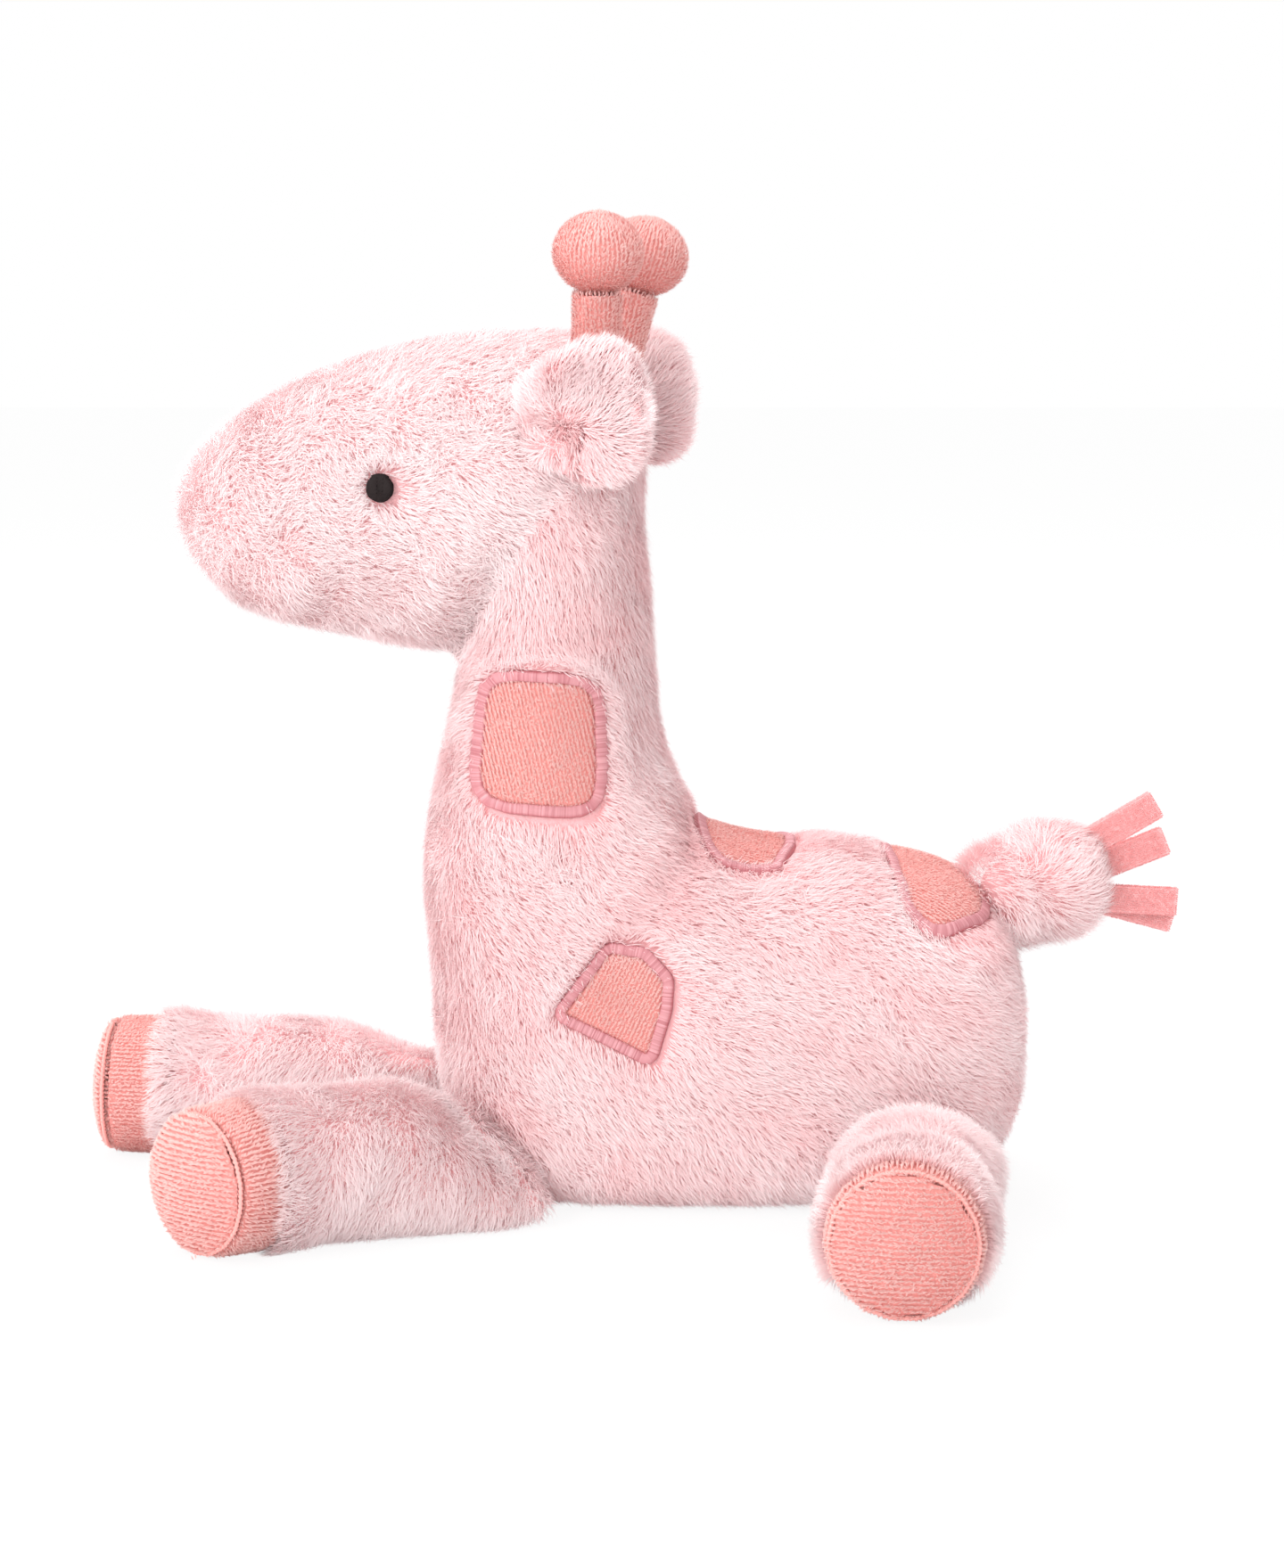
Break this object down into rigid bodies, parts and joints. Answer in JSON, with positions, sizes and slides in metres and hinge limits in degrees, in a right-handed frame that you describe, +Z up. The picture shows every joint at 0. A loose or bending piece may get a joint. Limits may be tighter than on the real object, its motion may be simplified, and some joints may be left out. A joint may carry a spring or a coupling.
{
  "type": "plush giraffe",
  "caption": "Stuffed giraffe toy lying with its head up and legs spread, pale plush with velour hooves, horns and spots and a tail that ends in cut strips.",
  "frame": {"origin": "on the floor, under the middle of the toy's bounding box", "axes": "+X towards the tail, so the nose points to -X; -Y is the giraffe's left side, which the picture shows; +Z up"},
  "size_m": [0.3138, 0.297, 0.2741],
  "materials": {
    "plush": "long soft pile, combed, pale at the tips",
    "coral_velour": "ribbed knitted velour, short loops",
    "satin_thread": "satin stitch, a soft sheen across the thread",
    "eye_thread": "dense embroidery, a slight sheen",
    "strip_velour": "short velour, raw cut edges",
    "stuffing": "loose fibre fill"
  },
  "bodies": {
    "torso": {"body_skin": "plush", "body_stuffing": "stuffing", "head_skin": "plush", "head_stuffing": "stuffing", "left_eye": "eye_thread", "right_eye": "eye_thread", "left_neck_patch": "coral_velour", "left_neck_patch_stitching": "satin_thread", "right_neck_patch": "coral_velour", "right_neck_patch_stitching": "satin_thread", "left_flank_patch": "coral_velour", "left_flank_patch_stitching": "satin_thread", "right_flank_patch": "coral_velour", "right_flank_patch_stitching": "satin_thread", "saddle_patch": "coral_velour", "saddle_patch_stitching": "satin_thread", "rump_patch": "coral_velour", "rump_patch_stitching": "satin_thread"},
    "front_left_leg": {"front_left_leg_skin": "plush", "front_left_hoof_cuff": "coral_velour", "front_left_hoof_sole": "coral_velour", "front_left_leg_stuffing": "stuffing"},
    "front_right_leg": {"front_right_leg_skin": "plush", "front_right_hoof_cuff": "coral_velour", "front_right_hoof_sole": "coral_velour", "front_right_leg_stuffing": "stuffing"},
    "rear_left_leg": {"rear_left_leg_skin": "plush", "rear_left_hoof_cuff": "coral_velour", "rear_left_hoof_sole": "coral_velour", "rear_left_leg_stuffing": "stuffing"},
    "rear_right_leg": {"rear_right_leg_skin": "plush", "rear_right_hoof_cuff": "coral_velour", "rear_right_hoof_sole": "coral_velour", "rear_right_leg_stuffing": "stuffing"},
    "left_ear": {"left_ear": "plush"},
    "left_horn": {"left_horn_stalk": "coral_velour", "left_horn_knob": "coral_velour"},
    "right_ear": {"right_ear": "plush"},
    "right_horn": {"right_horn_stalk": "coral_velour", "right_horn_knob": "coral_velour"},
    "tail": {"tail_skin": "plush", "tail_stuffing": "stuffing"},
    "tail_strip_1": {"tail_strip_1": "strip_velour"},
    "tail_strip_2": {"tail_strip_2": "strip_velour"},
    "tail_strip_3": {"tail_strip_3": "strip_velour"},
    "tail_strip_4": {"tail_strip_4": "strip_velour"}
  },
  "joints": [
    {"name": "front_left_leg_seam", "type": "hinge", "parent": "torso", "child": "front_left_leg", "pos_m": [-0.03734, -0.04725, 0.018], "axis": [-0.6635, 0.3597, 0.6561], "range_deg": [0, 45]},
    {"name": "front_right_leg_seam", "type": "hinge", "parent": "torso", "child": "front_right_leg", "pos_m": [-0.05309, 0.02218, 0.018], "axis": [0.0524, 0.7529, -0.6561], "range_deg": [0, 25]},
    {"name": "rear_left_leg_seam", "type": "hinge", "parent": "torso", "child": "rear_left_leg", "pos_m": [0.0806, -0.05124, 0.018], "axis": [-0.9859, -0.1671, 0], "range_deg": [-15, 22]},
    {"name": "rear_right_leg_seam", "type": "hinge", "parent": "torso", "child": "rear_right_leg", "pos_m": [0.08061, 0.05124, 0.018], "axis": [0.9852, -0.1716, 0], "range_deg": [-15, 22]},
    {"name": "left_ear_seam", "type": "hinge", "parent": "torso", "child": "left_ear", "pos_m": [-0.02353, -0.03271, 0.22073], "axis": [0.0951, 0.0584, -0.9938], "range_deg": [0, 30], "stiffness_Nm_per_rad": 0.02},
    {"name": "right_ear_seam", "type": "hinge", "parent": "torso", "child": "right_ear", "pos_m": [-0.01439, 0.03213, 0.22073], "axis": [-0.0753, 0.0823, 0.9938], "range_deg": [0, 30], "stiffness_Nm_per_rad": 0.02},
    {"name": "left_horn_seam", "type": "hinge", "parent": "torso", "child": "left_horn", "pos_m": [-0.008, -0.02303, 0.23499], "axis": [0.1392, 0.9903, 0], "range_deg": [-8, 8], "stiffness_Nm_per_rad": 0.05},
    {"name": "right_horn_seam", "type": "hinge", "parent": "torso", "child": "right_horn", "pos_m": [-0.00215, 0.01856, 0.23497], "axis": [0.1392, 0.9903, 0], "range_deg": [-8, 8], "stiffness_Nm_per_rad": 0.05},
    {"name": "tail_seam", "type": "hinge", "parent": "torso", "child": "tail", "pos_m": [0.11235, 0, 0.08424], "axis": [0, -1, 0], "range_deg": [-20, 30], "stiffness_Nm_per_rad": 0.1},
    {"name": "tail_strip_1_seam", "type": "hinge", "parent": "tail", "child": "tail_strip_1", "pos_m": [0.13294, -0.0016, 0.09781], "axis": [-0.515, 0, 0.8572], "range_deg": [-12, 12], "stiffness_Nm_per_rad": 0.005},
    {"name": "tail_strip_2_seam", "type": "hinge", "parent": "tail", "child": "tail_strip_2", "pos_m": [0.13474, 0.00064, 0.08983], "axis": [-0.3746, 0, 0.9272], "range_deg": [-12, 12], "stiffness_Nm_per_rad": 0.005},
    {"name": "tail_strip_3_seam", "type": "hinge", "parent": "tail", "child": "tail_strip_3", "pos_m": [0.13656, -0.0016, 0.08106], "axis": [0.0523, 0, 0.9986], "range_deg": [-20, 0], "stiffness_Nm_per_rad": 0.005},
    {"name": "tail_strip_4_seam", "type": "hinge", "parent": "tail", "child": "tail_strip_4", "pos_m": [0.13663, 0.00192, 0.07981], "axis": [0.2588, 0, 0.9659], "range_deg": [0, 20], "stiffness_Nm_per_rad": 0.005}
  ]
}
